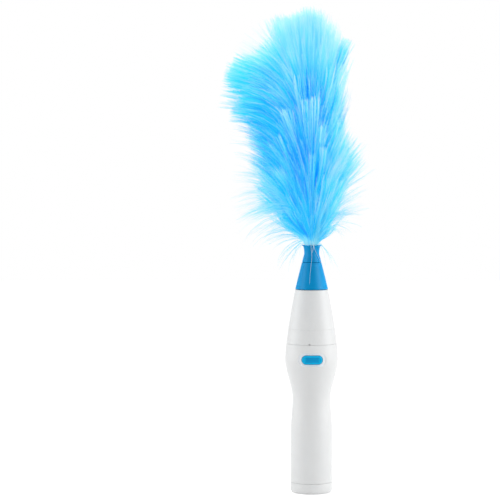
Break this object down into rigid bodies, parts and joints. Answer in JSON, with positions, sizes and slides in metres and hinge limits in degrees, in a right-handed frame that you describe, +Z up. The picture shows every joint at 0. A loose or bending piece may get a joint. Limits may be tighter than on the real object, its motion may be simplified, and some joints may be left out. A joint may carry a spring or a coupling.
{
  "type": "electric feather duster",
  "caption": "Battery feather duster: a slim white waisted handle with a push button, and a motor-spun push-on head with a blue cone and a long plume of soft fibres.",
  "frame": {"origin": "centre of the flat base of the screw cap, which the duster stands on", "axes": "+Z up along the handle and the spindle to the tip of the plume, -Y out through the push button, +X to the right as the button faces the viewer"},
  "size_m": [0.1211, 0.11, 0.4394],
  "materials": {
    "white_shell": "satin moulded white plastic",
    "white_trim": "satin moulded white plastic",
    "blue_button": "glossy moulded blue plastic",
    "blue_plastic": "glossy moulded blue plastic",
    "blue_fibre": "fine split synthetic fibre, soft and slightly translucent",
    "black_plastic": "moulded black plastic",
    "nylon": "natural nylon",
    "nickel": "nickel-plated spring steel",
    "steel": "plain steel",
    "brass": "turned brass",
    "bronze": "sintered bronze",
    "copper": "copper",
    "ferrite": "pressed ferrite",
    "circuit_board": "green circuit board",
    "cell_jacket": "plain grey cell jacket with no print",
    "red_lead": "red insulated wire",
    "black_lead": "black insulated wire"
  },
  "bodies": {
    "handset": {"grip_housing": "white_shell", "shoulder_ring": "white_trim", "nose_housing": "white_shell", "battery_divider": "black_plastic", "battery_cell_left_lower": "cell_jacket", "battery_cell_left_upper": "cell_jacket", "battery_cell_right_lower": "cell_jacket", "battery_cell_right_upper": "cell_jacket", "head_contact_board": "circuit_board", "head_contact_plate": "nickel", "head_spring_plate": "nickel", "head_contact_spring": "nickel", "switch_board": "circuit_board", "switch_body": "black_plastic", "button_spring": "steel", "motor_can": "steel", "motor_end_bell": "black_plastic", "motor_magnet_front": "ferrite", "motor_magnet_back": "ferrite", "motor_terminal_left": "brass", "motor_terminal_right": "brass", "motor_lead_red": "red_lead", "motor_lead_black": "black_lead", "motor_plate": "steel", "motor_screw_1": "steel", "motor_screw_2": "steel", "bearing_plate": "black_plastic", "gearbox_post_1": "brass", "gearbox_post_2": "brass", "gearbox_post_3": "brass", "gearbox_screw_1": "steel", "gearbox_screw_2": "steel", "gearbox_screw_3": "steel", "idler_pin": "steel", "lower_bush": "bronze", "upper_bush": "bronze"},
    "button": {"push_button": "blue_button", "switch_plunger": "nylon"},
    "contact_disc": {"tail_contact_disc": "black_plastic", "tail_bridge_strip": "nickel", "tail_contact_spring": "nickel"},
    "cap": {"base_cap": "white_trim", "disc_screw": "steel"},
    "rotor": {"motor_shaft": "steel", "armature": "steel", "commutator": "copper", "motor_pinion": "brass"},
    "idler": {"idler_gear": "nylon"},
    "spindle": {"output_spindle": "steel", "output_gear": "nylon", "spindle_clip": "steel"},
    "head": {"head_cone": "blue_plastic", "drive_socket": "nylon", "neck_collar": "blue_plastic", "head_stem": "nylon", "tuft_bottom": "blue_fibre", "tuft_lower": "blue_fibre", "tuft_middle": "blue_fibre", "tuft_upper": "blue_fibre", "tuft_top": "blue_fibre"}
  },
  "joints": [
    {"name": "spindle_spin", "type": "hinge", "parent": "handset", "child": "spindle", "pos_m": [0, 0, 0.1764], "axis": [0, 0, 1], "continuous": true},
    {"name": "idler_spin", "type": "hinge", "parent": "handset", "child": "idler", "pos_m": [0.0085, 0, 0.1748], "axis": [0, 0, 1], "continuous": true},
    {"name": "rotor_spin", "type": "hinge", "parent": "handset", "child": "rotor", "pos_m": [0, 0, 0.156], "axis": [0, 0, 1], "continuous": true},
    {"name": "head_pull", "type": "slide", "parent": "spindle", "child": "head", "axis": [0, 0, 1], "range_m": [0, 0.03]},
    {"name": "button_press", "type": "slide", "parent": "handset", "child": "button", "axis": [0, 1, 0], "range_m": [0, 0.0018], "stiffness_N_per_m": 900, "springref_m": -0.001, "deforming": ["button_spring"]},
    {"name": "disc_slide", "type": "slide", "parent": "handset", "child": "contact_disc", "axis": [0, 0, -1], "range_m": [0, 0.005]},
    {"name": "cap_turn", "type": "hinge", "parent": "contact_disc", "child": "cap", "pos_m": [0, 0, 0], "axis": [0, 0, -1], "range_deg": [0, 360]}
  ],
  "couplings": [
    {"joint": "idler_spin", "follows": "spindle_spin", "ratio": -3.25},
    {"joint": "rotor_spin", "follows": "spindle_spin", "ratio": 10.562},
    {"joint": "disc_slide", "follows": "cap_turn", "m_per_rad": 0.00079577}
  ]
}
